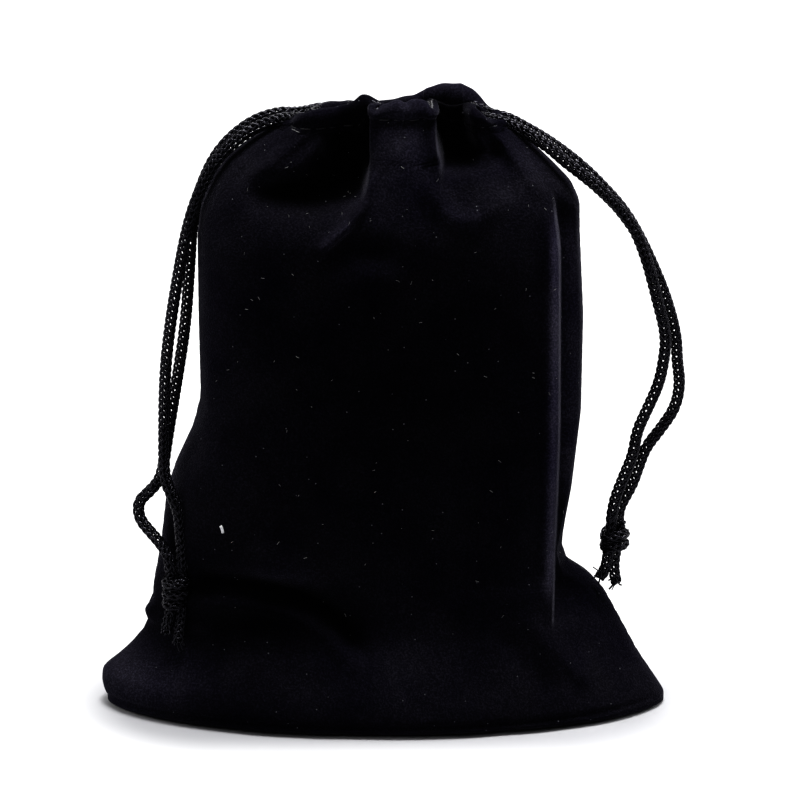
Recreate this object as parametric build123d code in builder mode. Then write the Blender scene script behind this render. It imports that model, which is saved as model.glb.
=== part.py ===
from build123d import *
import os
from math import pi, radians, tan
from typing import NamedTuple

# A velvet pouch that stands on its base, drawn half closed by two knitted drawstrings.
# Millimetres. +Z is up, -Y is the front, and the origin is the middle of the base.

# ---- Driving dimensions ----
cloth = 1.2  # thickness of a velvet wall
cord_diameter = 2.3
cord_radius = cord_diameter / 2
running_gap = 0.25  # between a cord and the channel it slides in
hinge_gap = 0.05  # between a lead's end and the round start of its tail

channel_left = -12.0  # the ends of both channels
channel_right = 16.0
channel_floor = 121.0  # where the hem meets the panels
channel_wall = 0.9

# The right drawstring runs outside and above the left one, so that they pass each other in the channels.
left_lane = 6.9  # distance of each cord from the middle of the mouth
right_lane = 8.6
left_height = 123.3
right_height = 125.6
bight_slack = 3.0  # how far each bight stands out of its channels, and so how far the drawstring can be drawn

stitch_pitch = 3.0
stitch_length = 2.0
thread = 0.4  # thickness of the sewing thread
seam_pitch = 6.0
seam_margin = 8.0  # from a seam's end to its first stitch

knot_radius = 3.0
knot_height = 7.4
knot_wraps = 3


# ---- The pouch ----
class Level(NamedTuple):
    """The outline of the pouch at one height."""

    height: float
    left: float  # x of the left and right edges
    right: float
    swell: float  # how far the front and back stand out at the middle
    side: float  # half the depth of the side, where it meets the front and back


levels = [
    Level(0, -53, 53, 19, 1.6),
    Level(4, -56, 56, 20.5, 1.8),
    Level(10, -53.6, 51.5, 20.5, 2.0),
    Level(24, -46.2, 44, 19.7, 3.4),
    Level(34, -44.5, 36.5, 19.5, 5),
    Level(48, -42, 38, 19, 7),
    Level(65, -36.4, 38.8, 19, 11),
    Level(98, -36.1, 38.8, 18, 12),
    Level(107, -34.4, 37.8, 15, 11),
    Level(115, -30, 32, 10.2, 8.4),
    Level(channel_floor, -18, 22, 8.4, 8),
]
side_bulge = 0.3  # how far a side bows out, as a share of its half depth
corner_inset = 1.6  # the lining of a sharp corner is this many wall thicknesses in from it


def level_at(height):
    """The outline between two levels, where the walls run straight from one to the next."""
    for low, high in zip(levels, levels[1:]):
        if height <= high.height:
            share = (height - low.height) / (high.height - low.height)
            return Level(*(a + share * (b - a) for a, b in zip(low, high)))


def inner(level):
    """The inside of the wall at one level."""
    return level._replace(
        left=level.left + corner_inset * cloth,
        right=level.right - corner_inset * cloth,
        swell=level.swell - cloth,
        side=max(level.side - cloth, cloth / 3),
    )


def outline(level):
    """Four arcs: a wide swelling front and back, joined by two narrow sides."""
    bulge = side_bulge * level.side
    middle = (level.left + level.right) / 2
    front_left = (level.left + bulge, -level.side)
    front_right = (level.right - bulge, -level.side)
    back_left = (level.left + bulge, level.side)
    back_right = (level.right - bulge, level.side)
    with BuildSketch(Plane.XY.offset(level.height)) as section:
        with BuildLine():
            ThreePointArc(front_left, (middle, -level.swell), front_right)
            ThreePointArc(front_right, (level.right, 0), back_right)
            ThreePointArc(back_right, (middle, level.swell), back_left)
            ThreePointArc(back_left, (level.left, 0), front_left)
        make_face()
    return section.sketch.face()


with BuildPart() as pouch:
    loft(sections=[outline(level) for level in levels], ruled=True)
    lining = [outline(inner(level)) for level in [level_at(cloth)] + levels[1:]]
    loft(sections=lining, ruled=True, mode=Mode.SUBTRACT)

with BuildPart() as front_panel:
    add(pouch.part)
    split(bisect_by=Plane.XZ, keep=Keep.TOP)

with BuildPart() as back_panel:
    add(pouch.part)
    split(bisect_by=Plane.XZ, keep=Keep.BOTTOM)


# ---- The drawstring channels: the panels' top hems, open at both ends ----
bore_low = left_lane - cord_radius - running_gap
bore_high = right_lane + cord_radius + running_gap
bore_bottom = left_height - cord_radius - running_gap
bore_top = right_height + cord_radius + running_gap
channel_depth = bore_high - bore_low + 2 * channel_wall
channel_height = bore_top + channel_wall - channel_floor
channel_middle = (bore_low + bore_high) / 2
channel_outside = channel_middle + channel_depth / 2


def make_channel(side):
    """A flattened tube along X, in front of the mouth (side -1) or behind it (side 1)."""
    with BuildPart() as channel:
        with BuildSketch(Plane.YZ.offset(channel_left)):
            with Locations((side * channel_middle, channel_floor + channel_height / 2)):
                RectangleRounded(channel_depth, channel_height, cord_radius + channel_wall)
            with Locations((side * channel_middle, (bore_bottom + bore_top) / 2)):
                RectangleRounded(bore_high - bore_low, bore_top - bore_bottom, cord_radius, mode=Mode.SUBTRACT)
        extrude(amount=channel_right - channel_left)
    return channel


front_channel = make_channel(-1)
back_channel = make_channel(1)


# ---- Sewing ----
def make_hem_stitching(side):
    """A row of stitches that lie on the outer face of a channel, low down."""
    count = int((channel_right - channel_left) / stitch_pitch)
    row_height = channel_floor + cord_radius + channel_wall + thread / 2
    row_middle = (channel_left + channel_right) / 2
    with BuildPart() as stitching:
        with Locations((row_middle, side * (channel_outside + thread / 2), row_height)):
            with GridLocations(stitch_pitch, 1, count, 1):
                Box(stitch_length, thread, thread)
    return stitching


def make_side_seam(edge):
    """Stitches that go through the front and back panels where they meet at one side."""
    top = levels[-1].height
    with BuildPart() as seam:
        height = seam_margin
        while height < top - seam_margin:
            x = getattr(level_at(height), edge)
            inward = 1 if edge == "left" else -1
            with Locations(Plane(origin=(x + inward * cloth * corner_inset / 2, 0, height), z_dir=(0, 1, 0))):
                Cylinder(thread / 2, 2 * thread)
            height += seam_pitch
    return seam


def make_bottom_seam():
    """Stitches that go through both panels along the middle of the base."""
    length = levels[0].right - levels[0].left - 2 * seam_margin
    count = int(length / seam_pitch)
    with BuildPart() as seam:
        with Locations(Plane(origin=(0, 0, cloth / 2), x_dir=(1, 0, 0), z_dir=(0, 1, 0))):
            with GridLocations(seam_pitch, 1, count, 1):
                Cylinder(thread / 2, 2 * thread)
    return seam


front_hem_stitching = make_hem_stitching(-1)
back_hem_stitching = make_hem_stitching(1)
left_side_seam = make_side_seam("left")
right_side_seam = make_side_seam("right")
bottom_seam = make_bottom_seam()


# ---- Cords ----
def short_of_pivot(points):
    """A lead's route, stopped where the round start of its tail begins."""
    before = Vector(*points[-2])
    pivot = Vector(*points[-1])
    end = pivot - (pivot - before).normalized() * (cord_radius + hinge_gap)
    return points[:-1] + [tuple(end)]


def route_radii(points):
    """The largest arc that each corner's two runs allow: 0.45 of the shorter over tan of half the turn."""
    corners = [Vector(*point) for point in points]
    runs = [b - a for a, b in zip(corners, corners[1:])]
    radii = []
    for before, after in zip(runs, runs[1:]):
        shorter = min(before.length, after.length)
        turn = radians(before.get_angle(after))
        radii.append(0.45 * shorter / tan(turn / 2))
    return radii


def make_cord(name, points, round_start=False):
    """A round cord along straight runs joined by tangent arcs. A round start turns freely against its lead."""
    radii = route_radii(points)
    with BuildPart() as strand:
        with BuildLine():
            path = FilletPolyline(*points, radius=radii)
        start = Plane(origin=path @ 0, z_dir=path % 0)
        with BuildSketch(start):
            Circle(cord_radius)
        sweep(path=path)
        if round_start:
            with Locations(start):
                Sphere(cord_radius, arc_size1=-90, arc_size2=0, align=(Align.CENTER, Align.CENTER, Align.MAX))
    section = pi * cord_radius**2
    expected = section * path.length
    if round_start:
        expected += section * cord_radius * 2 / 3
    print(f"{name}: length {path.length:.1f}, volume {strand.part.volume:.2f} of {expected:.2f}")
    print("  radii", [round(radius, 1) for radius in radii])
    return strand


def make_loop(far, near, lane, height):
    """The stretch of a drawstring inside both channels, with its bight past the far end."""
    outward = 1 if far > near else -1
    bight = far + outward * (bight_slack + lane)
    return [
        (near, -lane, height),
        (bight, -lane, height),
        (bight, lane, height),
        (near, lane, height),
    ]


left_loop_route = make_loop(channel_right, channel_left, left_lane, left_height)
right_loop_route = make_loop(channel_left, channel_right, right_lane, right_height)

# Leads run from the channel's end to the shoulder, tails from the shoulder to the knot.
left_front_lead_route = [
    (channel_left, -left_lane, left_height),
    (channel_left - 2.6, -left_lane, left_height),
    (-20, -7.1, 121.9),
    (-26.6, -7.4, 119.8),
    (-33.5, -5, 115),
]
left_back_lead_route = [
    (channel_left, left_lane, left_height),
    (channel_left - 2.6, left_lane, left_height),
    (-20, 7, 121.8),
    (-26.8, 5.7, 119.4),
    (-33.5, 2, 115),
]
left_front_tail_route = [
    (-33.5, -5, 115),
    (-36.8, -4.5, 108.9),
    (-38.6, -4.3, 103.2),
    (-40, -4.2, 96.3),
    (-42.4, -4, 80.5),
    (-43.6, -4.4, 69.6),
    (-43.8, -6, 57.2),
    (-43.8, -8, 50.2),
    (-42, -9.5, 46.6),
    (-40.8, -10, 43.4),
    (-40.5, -10.2, 39),
    (-40.25, -10.5, 35),
    (-40.25, -10.5, 31.6),
]
left_back_tail_route = [
    (-33.5, 2, 115),
    (-36.9, 1.2, 107.8),
    (-38.2, 0.6, 100.5),
    (-38.4, 0.2, 93),
    (-39.4, -1, 79.8),
    (-41.2, -2.4, 69),
    (-43.2, -3.4, 57.5),
    (-44.4, -4.8, 49.4),
    (-46.6, -5.4, 46.8),
    (-49.2, -5.9, 44.6),
    (-49, -6.6, 41.2),
    (-46.6, -7.6, 38.6),
    (-44.4, -8.8, 36.4),
    (-42.75, -10.5, 34.2),
    (-42.75, -10.5, 31.6),
]
right_front_lead_route = [
    (channel_right, -right_lane, right_height),
    (channel_right + 2.8, -right_lane, right_height),
    (22.6, -9.9, 124.6),
    (27, -9.6, 122.2),
    (32.2, -7.8, 118.4),
    (36.6, -6, 115),
    (41, -4.5, 111.2),
]
right_back_lead_route = [
    (channel_right, right_lane, right_height),
    (channel_right + 2.6, right_lane, right_height),
    (22.4, 9.9, 123.6),
    (26.6, 9.4, 120.8),
    (31.4, 7.2, 118),
    (36.2, 4.8, 115.2),
    (41, 2.8, 111.2),
]
right_front_tail_route = [
    (41, -4.5, 111.2),
    (44.8, -4.3, 108),
    (48.2, -4.1, 104.6),
    (51.2, -4, 100),
    (53.2, -3.9, 93.7),
    (54.6, -3.8, 86.1),
    (56, -3.7, 78.6),
    (55.6, -3.6, 73.4),
    (54.7, -3.6, 68.5),
    (52.6, -3.6, 63.5),
    (50.4, -3.6, 58.5),
    (48.9, -3.6, 53.5),
    (46.8, -3.5, 48.5),
    (45.15, -3.2, 43.5),
    (45.15, -3.2, 39.5),
]
right_back_tail_route = [
    (41, 2.8, 111.2),
    (44.8, 2, 107.6),
    (48.6, 1.3, 103.6),
    (51.6, 0.8, 98.6),
    (54, 0.4, 92.8),
    (56.6, 0, 85.5),
    (58.2, -0.4, 77.6),
    (58.4, -0.6, 72.4),
    (59.1, -0.8, 67.8),
    (58.3, -1, 62.8),
    (55.4, -1.2, 58.4),
    (52.4, -1.6, 54.6),
    (50.6, -2, 50),
    (49, -2.6, 45.6),
    (47.65, -3.2, 42.6),
    (47.65, -3.2, 39.5),
]


# ---- Knots and cut ends ----
def make_knot(route_a, route_b):
    """The two ends wrapped round each other: three full turns, flat where the strands enter and leave."""
    top = (Vector(*route_a[-1]) + Vector(*route_b[-1])) / 2
    wrap = knot_height / knot_wraps
    neck = knot_radius - wrap / 4
    with BuildPart() as knot:
        with BuildSketch(Plane(origin=top, z_dir=(0, 1, 0), x_dir=(1, 0, 0))):
            with BuildLine():
                for turn in range(knot_wraps):
                    ThreePointArc(
                        (neck, turn * wrap),
                        (knot_radius, (turn + 0.5) * wrap),
                        (neck, (turn + 1) * wrap),
                    )
                Polyline((neck, knot_height), (0, knot_height), (0, 0), (neck, 0))
            make_face()
        revolve(axis=Axis(top, (0, 0, 1)))
    return knot


def make_cut_ends(routes):
    """The two cut ends of a drawstring, under its knot."""
    with BuildPart() as ends:
        for points in routes:
            with BuildLine():
                path = FilletPolyline(*points, radius=route_radii(points))
            with BuildSketch(Plane(origin=path @ 0, z_dir=path % 0)):
                Circle(cord_radius)
            sweep(path=path)
    return ends


left_knot = make_knot(left_front_tail_route, left_back_tail_route)
right_knot = make_knot(right_front_tail_route, right_back_tail_route)
left_cut_ends = make_cut_ends([
    [(-40.25, -10.5, 24.2), (-40.25, -10.5, 22.2), (-40.7, -12, 19.8), (-40.9, -12.9, 17.2)],
    [(-42.75, -10.5, 24.2), (-42.75, -10.5, 22.4), (-44.6, -10.2, 20.2)],
])
right_cut_ends = make_cut_ends([
    [(45.15, -3.2, 32.1), (45.15, -3.2, 30.4), (43.9, -3.3, 28.4)],
    [(47.65, -3.2, 32.1), (47.65, -3.2, 29.8), (46.9, -3.4, 27)],
])

# ---- Export ----
nodes = {
    "front_panel": front_panel,
    "back_panel": back_panel,
    "front_channel": front_channel,
    "back_channel": back_channel,
    "front_hem_stitching": front_hem_stitching,
    "back_hem_stitching": back_hem_stitching,
    "left_side_seam": left_side_seam,
    "right_side_seam": right_side_seam,
    "bottom_seam": bottom_seam,
    "left_cord_loop": make_cord("left_cord_loop", left_loop_route),
    "left_front_lead": make_cord("left_front_lead", short_of_pivot(left_front_lead_route)),
    "left_back_lead": make_cord("left_back_lead", short_of_pivot(left_back_lead_route)),
    "left_front_tail": make_cord("left_front_tail", left_front_tail_route, round_start=True),
    "left_back_tail": make_cord("left_back_tail", left_back_tail_route, round_start=True),
    "left_knot": left_knot,
    "left_cut_ends": left_cut_ends,
    "right_cord_loop": make_cord("right_cord_loop", right_loop_route),
    "right_front_lead": make_cord("right_front_lead", short_of_pivot(right_front_lead_route)),
    "right_back_lead": make_cord("right_back_lead", short_of_pivot(right_back_lead_route)),
    "right_front_tail": make_cord("right_front_tail", right_front_tail_route, round_start=True),
    "right_back_tail": make_cord("right_back_tail", right_back_tail_route, round_start=True),
    "right_knot": right_knot,
    "right_cut_ends": right_cut_ends,
}
os.makedirs("parts", exist_ok=True)
for name, node in nodes.items():
    node.part.label = name
    export_step(node.part, f"parts/{name}.step")
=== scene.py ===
import math

import bpy
import numpy as np
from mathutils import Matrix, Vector


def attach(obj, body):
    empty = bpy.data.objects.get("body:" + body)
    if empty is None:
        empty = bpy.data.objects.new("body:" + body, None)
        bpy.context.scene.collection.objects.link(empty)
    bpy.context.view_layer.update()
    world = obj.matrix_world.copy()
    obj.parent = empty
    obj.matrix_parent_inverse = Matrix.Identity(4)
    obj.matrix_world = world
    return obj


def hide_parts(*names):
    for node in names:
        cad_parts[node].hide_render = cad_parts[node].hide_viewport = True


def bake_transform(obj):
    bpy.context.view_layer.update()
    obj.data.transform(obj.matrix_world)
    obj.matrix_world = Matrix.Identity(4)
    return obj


# A black velvet drawstring pouch, standing, with two knitted drawstrings. Metres, in the CAD model's frame.

MM = 0.001
TAU = 2 * math.pi
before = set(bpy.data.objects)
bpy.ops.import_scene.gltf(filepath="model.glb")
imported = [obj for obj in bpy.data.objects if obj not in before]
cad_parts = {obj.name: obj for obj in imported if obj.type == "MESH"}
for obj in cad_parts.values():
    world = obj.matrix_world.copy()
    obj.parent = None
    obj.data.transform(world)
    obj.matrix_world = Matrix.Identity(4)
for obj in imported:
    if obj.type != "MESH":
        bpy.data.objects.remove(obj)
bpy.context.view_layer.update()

CORD_DIAMETER = 2.3 * MM
CORD_RADIUS = CORD_DIAMETER / 2


# ---- Camera ----
# It looks slightly down at the front of the pouch from far off, as a product photographer's does.
VIEW_HEIGHT = 0.160  # how much of the object's plane the square picture takes in
VIEW_DISTANCE = 0.85
ELEVATION = math.radians(17)
AIM = Vector((3.2 * MM, 0, 64 * MM))


def add_camera():
    camera = bpy.data.cameras.new("camera")
    camera.sensor_width = 36
    camera.lens = camera.sensor_width * VIEW_DISTANCE / VIEW_HEIGHT
    camera.clip_start = 0.01
    holder = bpy.data.objects.new("camera", camera)
    bpy.context.scene.collection.objects.link(holder)
    away = Vector((0, -math.cos(ELEVATION), math.sin(ELEVATION)))
    holder.location = AIM + VIEW_DISTANCE * away
    holder.rotation_euler = (-away).to_track_quat("-Z", "Y").to_euler()
    bpy.context.scene.camera = holder


add_camera()


# ---- Materials ----
class Surface:
    """A procedural material being made: its node tree, its shader and what adds linked nodes to them."""

    def __init__(self, name):
        self.material = bpy.data.materials.new(name)
        self.material.use_nodes = True
        self.tree = self.material.node_tree
        self.shader = self.tree.nodes["Principled BSDF"]
        self.link = self.tree.links.new
        self.place = self.add("ShaderNodeTexCoord").outputs["Object"]

    def add(self, kind, operation=None, **inputs):
        node = self.tree.nodes.new(kind)
        if operation:
            node.operation = operation
        self.fill(node, **inputs)
        return node

    def fill(self, node, **inputs):
        """Sets a node's inputs, with _ for the spaces in their names."""
        for key, value in inputs.items():
            node.inputs[key.replace("_", " ")].default_value = value

    def noise(self, **inputs):
        node = self.add("ShaderNodeTexNoise", **inputs)
        self.link(self.place, node.inputs["Vector"])
        return node.outputs["Fac"]

    def maths(self, operation, first, second):
        """A calculation with two values, the second of which may be a plain number."""
        node = self.add("ShaderNodeMath", operation)
        self.link(first, node.inputs[0])
        if isinstance(second, float):
            node.inputs[1].default_value = second
        else:
            self.link(second, node.inputs[1])
        return node.outputs["Value"]

    def tones(self, value, dark, pale, dark_at=0.0, pale_at=1.0):
        """A colour that goes from dark to pale as the value rises."""
        node = self.add("ShaderNodeValToRGB")
        for element, colour, position in zip(node.color_ramp.elements, (dark, pale), (dark_at, pale_at)):
            element.position = position
            element.color = (*colour, 1)
        self.link(value, node.inputs["Fac"])
        return node.outputs["Color"]

    def ranged(self, value, **ends):
        node = self.add("ShaderNodeMapRange", **ends)
        self.link(value, node.inputs["Value"])
        return node.outputs["Result"]

    def relief(self, value, strength, distance):
        node = self.add("ShaderNodeBump", Strength=strength, Distance=distance)
        self.link(value, node.inputs["Height"])
        self.link(node.outputs["Normal"], self.shader.inputs["Normal"])


def make_velvet():
    """Short black pile with a faint blue sheen, specks of lint in it, and light and shade painted into its
    colour.
    """
    cloth = Surface("black_velvet")
    cloth.fill(cloth.shader, Roughness=0.95, Specular_IOR_Level=0.0)
    cloth.fill(cloth.shader, Sheen_Weight=0.11, Sheen_Roughness=0.30, Sheen_Tint=(0.86, 0.84, 1.0, 1))
    # the nap lies in soft patches, a little lighter where it has been brushed back
    patches = cloth.noise(Scale=55.0, Detail=5.0, Roughness=0.6, Distortion=0.4)
    patch_tone = cloth.tones(patches, (0.0041, 0.0037, 0.0066), (0.0096, 0.0090, 0.0122), 0.35, 0.70)
    # single pile tufts catch the light
    pile = cloth.noise(Scale=2600.0, Detail=2.0, Roughness=0.7)
    tufts = cloth.ranged(pile, From_Min=0.45, From_Max=0.80, To_Min=0.75, To_Max=2.3)
    # painted light and shade, read from the mesh: the colour goes near black in the deep folds, where shade
    # falls, and paler on the lit ridges, tongue, shoulders and base
    painted_shading_input = cloth.add("ShaderNodeAttribute")
    painted_shading_input.attribute_name = "painted_shading"
    tone = cloth.add("ShaderNodeVectorMath", "SCALE")
    cloth.link(patch_tone, tone.inputs[0])
    cloth.link(cloth.maths("MULTIPLY", tufts, painted_shading_input.outputs["Fac"]), tone.inputs["Scale"])
    # specks of pale lint, in some of the cells only
    cells = cloth.add("ShaderNodeTexVoronoi", Scale=480.0, Randomness=1.0)
    cloth.link(cloth.place, cells.inputs["Vector"])
    cell_colour = cloth.add("ShaderNodeSeparateColor")
    cloth.link(cells.outputs["Color"], cell_colour.inputs["Color"])
    small = cloth.maths("LESS_THAN", cells.outputs["Distance"], 0.065)
    few = cloth.maths("GREATER_THAN", cell_colour.outputs["Red"], 0.55)
    specked = cloth.add("ShaderNodeMix")
    specked.data_type = "RGBA"
    specked.inputs["B"].default_value = (0.11, 0.11, 0.12, 1)
    cloth.link(cloth.maths("MULTIPLY", small, few), specked.inputs["Factor"])
    cloth.link(tone.outputs["Vector"], specked.inputs["A"])
    cloth.link(specked.outputs["Result"], cloth.shader.inputs["Base Color"])
    cloth.relief(pile, 0.5, 0.4 * MM)
    return cloth.material


def make_knit_yarn():
    """Glossy black nylon made of fine filaments."""
    nylon = Surface("black_nylon_yarn")
    nylon.fill(nylon.shader, Specular_IOR_Level=0.33, Specular_Tint=(0.88, 0.86, 1.0, 1))
    filaments = nylon.noise(Scale=5200.0, Detail=2.0, Roughness=0.5)
    tone = nylon.tones(filaments, (0.0007, 0.0006, 0.0012), (0.0036, 0.0033, 0.0050), 0.30, 0.75)
    nylon.link(tone, nylon.shader.inputs["Base Color"])
    nylon.link(nylon.ranged(filaments, To_Min=0.18, To_Max=0.36), nylon.shader.inputs["Roughness"])
    nylon.relief(filaments, 0.35, 0.08 * MM)
    return nylon.material


def make_thread():
    polyester = Surface("sewing_thread")
    polyester.fill(polyester.shader, Roughness=0.4)
    twist = polyester.noise(Scale=6000.0, Detail=1.0)
    tone = polyester.tones(twist, (0.003, 0.003, 0.005), (0.011, 0.011, 0.015))
    polyester.link(tone, polyester.shader.inputs["Base Color"])
    polyester.relief(twist, 0.4, 0.05 * MM)
    return polyester.material


def make_lint(name, dim, pale):
    """Fluffy fibre, its tones between these two greys."""
    fluff = Surface(name)
    fluff.fill(fluff.shader, Roughness=0.9)
    clumps = fluff.noise(Scale=3000.0, Detail=2.0)
    tone = fluff.tones(clumps, (dim, dim, 1.1 * dim), (pale, pale, 0.97 * pale))
    fluff.link(tone, fluff.shader.inputs["Base Color"])
    return fluff.material


velvet = make_velvet()
yarn = make_knit_yarn()
thread = make_thread()


# ---- Cords ----
# The routes' points are the ones in the CAD part, in millimetres. Some are moved by under 7 mm:
# near the mouth, so that each strand comes out of the folded hem, and above the right knot.
EXIT_LEFT = -12
EXIT_RIGHT = 16
LEFT_HEIGHT = 123.3
RIGHT_HEIGHT = 123.6

LEFT_FRONT = [
    (EXIT_LEFT, -5.3, LEFT_HEIGHT),
    (EXIT_LEFT - 2.6, -5.2, LEFT_HEIGHT - 0.5),
    (-17.4, -2.4, 122.4),
    (-20.6, -1.6, 122.0),
    (-26.6, -2.6, 120.0),
    (-32.8, -3.4, 114.6),
    (-35.8, -4.3, 108.9),
    (-37.9, -4.3, 103.2),
    (-39.6, -4.2, 96.3),
    (-42.4, -4, 80.5),
    (-43.6, -4.4, 69.6),
    (-43.8, -6, 57.2),
    (-43.8, -8, 50.2),
    (-42, -9.5, 46.6),
    (-40.8, -10, 43.4),
    (-40.5, -10.2, 39),
    (-40.25, -10.5, 35),
    (-40.25, -10.5, 31.6),
]
LEFT_BACK = [
    (EXIT_LEFT, 6.4, LEFT_HEIGHT - 0.9),
    (EXIT_LEFT - 2.6, 5.4, LEFT_HEIGHT - 1.3),
    (-17.4, 2.2, 122.3),
    (-20.8, 1.2, 122.7),
    (-26.4, 1, 120.8),
    (-32.4, 0.4, 115.6),
    (-36.2, 1.0, 107.8),
    (-37.9, 0.6, 100.5),
    (-38.4, 0.2, 93),
    (-39.4, -1, 79.8),
    (-41.2, -2.4, 69),
    (-43.2, -3.4, 57.5),
    (-44.4, -4.8, 49.4),
    (-46.6, -5.4, 46.8),
    (-49.2, -5.9, 44.6),
    (-49, -6.6, 41.2),
    (-46.6, -7.6, 38.6),
    (-44.4, -8.8, 36.4),
    (-42.75, -10.5, 34.2),
    (-42.75, -10.5, 31.6),
]
RIGHT_FRONT = [
    (EXIT_RIGHT, -2.2, RIGHT_HEIGHT),
    (EXIT_RIGHT + 2.4, -4.4, 122.9),
    (20.8, -2.2, 122.2),
    (24, -1.6, 121.3),
    (27.6, -2.4, 119.6),
    (32.2, -3.2, 116.9),
    (36.2, -3.8, 113.4),
    (40, -4.3, 110.6),
    (43.4, -4.3, 107.6),
    (46.8, -4.1, 104.0),
    (49.8, -4, 99.6),
    (52.0, -3.9, 93.7),
    (54.0, -3.8, 86.1),
    (56, -3.7, 78.6),
    (55.6, -3.6, 73.4),
    (54.7, -3.6, 68.5),
    (52.6, -3.6, 63.5),
    (50.4, -3.6, 58.5),
    (49.9, -3.8, 54),
    (48.0, -3.9, 49.2),
    (46.4, -4.1, 45),
    (45.8, -4.2, 42),
    (45.6, -4.2, 39.5),
]
RIGHT_BACK = [
    (EXIT_RIGHT, 6.5, RIGHT_HEIGHT),
    (EXIT_RIGHT + 2.4, 5.4, 122.8),
    (20.8, 2.4, 122.0),
    (24.2, 1.3, 121.6),
    (27.4, 1.2, 119.9),
    (31.8, 1.4, 117.3),
    (36, 1.8, 114.2),
    (40, 2, 110.8),
    (43.6, 1.6, 107.2),
    (47.2, 1.3, 103.2),
    (50.2, 0.8, 98.4),
    (53, 0.4, 92.6),
    (56, 0, 85.5),
    (58.2, -0.4, 77.6),
    (58.4, -0.6, 72.4),
    (59.1, -0.8, 67.8),
    (58.3, -1, 62.8),
    (55.4, -1.2, 58.4),
    (52.4, -1.6, 54.6),
    (51.0, -1.9, 50.6),
    (49.8, -2.0, 46.8),
    (47.9, -2.2, 43.4),
    (47.1, -2.5, 41.4),
    (47.1, -2.6, 39.5),
]


def new_object(name, vertices, faces, material=None, smooth=True):
    mesh = bpy.data.meshes.new(name)
    mesh.from_pydata([tuple(v) for v in vertices], [], [tuple(f) for f in faces])
    mesh.update()
    if smooth:
        mesh.polygons.foreach_set("use_smooth", [True] * len(mesh.polygons))
    if material:
        mesh.materials.append(material)
    piece = bpy.data.objects.new(name, mesh)
    bpy.context.scene.collection.objects.link(piece)
    return piece


def spline_points(route):
    """Points along the smooth NURBS spline whose control points are the route's, in metres."""
    curve = bpy.data.curves.new("route", "CURVE")
    curve.dimensions = "3D"
    spline = curve.splines.new("NURBS")
    spline.points.add(len(route) - 1)
    for point, (x, y, z) in zip(spline.points, route):
        point.co = (x * MM, y * MM, z * MM, 1)
    spline.order_u = 3
    spline.use_endpoint_u = True
    spline.resolution_u = 10
    holder = bpy.data.objects.new("route", curve)
    bpy.context.scene.collection.objects.link(holder)
    line = bpy.data.meshes.new_from_object(holder)
    points = np.array([v.co for v in line.vertices])
    bpy.data.objects.remove(holder)
    bpy.data.curves.remove(curve)
    bpy.data.meshes.remove(line)
    return points


SAME_PLACE = 1e-7


class Rail:
    """A line with a frame that doesn't twist, so that a pattern can be laid along it."""

    def __init__(self, points):
        steps = np.linalg.norm(np.diff(points, axis=0), axis=1)
        points = points[np.concatenate(([True], steps > SAME_PLACE))]
        steps = np.linalg.norm(np.diff(points, axis=0), axis=1)
        self.along = np.concatenate(([0], np.cumsum(steps)))
        self.length = self.along[-1]
        self.points = points
        tangents = np.gradient(points, self.along, axis=0)
        self.tangents = tangents / np.linalg.norm(tangents, axis=1)[:, None]
        side = np.cross(self.tangents[0], (0, 0, 1))
        if np.linalg.norm(side) < 0.1:
            side = np.cross(self.tangents[0], (0, 1, 0))
        sides = []
        for tangent in self.tangents:
            side = side - tangent * (side @ tangent)
            side = side / np.linalg.norm(side)
            sides.append(side)
        self.sides = np.array(sides)

    def at(self, distance):
        """Positions, tangents and two cross directions at these distances along the line."""
        inside = np.clip(distance, 0, self.length)
        pick = [np.interp(inside, self.along, self.points[:, k]) for k in range(3)]
        tangent = [np.interp(inside, self.along, self.tangents[:, k]) for k in range(3)]
        side = [np.interp(inside, self.along, self.sides[:, k]) for k in range(3)]
        tangent = np.stack(tangent, 1)
        tangent /= np.linalg.norm(tangent, axis=1)[:, None]
        side = np.stack(side, 1)
        side -= tangent * np.sum(side * tangent, 1)[:, None]
        side /= np.linalg.norm(side, axis=1)[:, None]
        position = np.stack(pick, 1) + tangent * (distance - inside)[:, None]
        return position, tangent, side, np.cross(tangent, side)


TUBE_SIDES = 6


def tube_mesh(line, radius):
    """Vertices and faces of a closed tube round a dense line."""
    tangents = np.gradient(line, axis=0)
    tangents /= np.linalg.norm(tangents, axis=1)[:, None]
    normal = np.cross(tangents[0], (0.31, 0.52, 0.79))
    ring_side = np.empty_like(line)
    for i, tangent in enumerate(tangents):
        normal = normal - tangent * (normal @ tangent)
        normal = normal / np.linalg.norm(normal)
        ring_side[i] = normal
    ring_up = np.cross(tangents, ring_side)
    turn = np.linspace(0, TAU, TUBE_SIDES, endpoint=False)[None, :, None]
    rings = line[:, None] + radius * (np.cos(turn) * ring_side[:, None] + np.sin(turn) * ring_up[:, None])
    corners = np.arange(TUBE_SIDES)[None, :]
    first = np.arange(len(line) - 1)[:, None] * TUBE_SIDES
    a = first + corners
    b = first + (corners + 1) % TUBE_SIDES
    faces = np.stack([a, b, b + TUBE_SIDES, a + TUBE_SIDES], 2).reshape(-1, 4).tolist()
    last = (len(line) - 1) * TUBE_SIDES
    faces.append(list(range(TUBE_SIDES))[::-1])
    faces.append([last + k for k in range(TUBE_SIDES)])
    return rings.reshape(-1, 3), faces


# The cord is a knitted tube: one yarn goes round and round in loops that hang in the row below.
WALES = 4  # columns of loops round the tube
COURSE = 1.36 * MM  # from one row of loops to the next
YARN_RADIUS = 0.262 * MM
KNIT_RADIUS = 0.90 * MM
LOOP_REACH = 0.62  # half a loop's height, in courses
LOOP_LEAN = 0.28  # how far a loop's sides bow, in wales
LOOP_DEPTH = 0.10 * MM  # how far a loop's legs stand out and its head lies in
LOOP_STEPS = 16
UNEVEN_LEAN = 0.18
UNEVEN_REACH = 0.05


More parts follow.
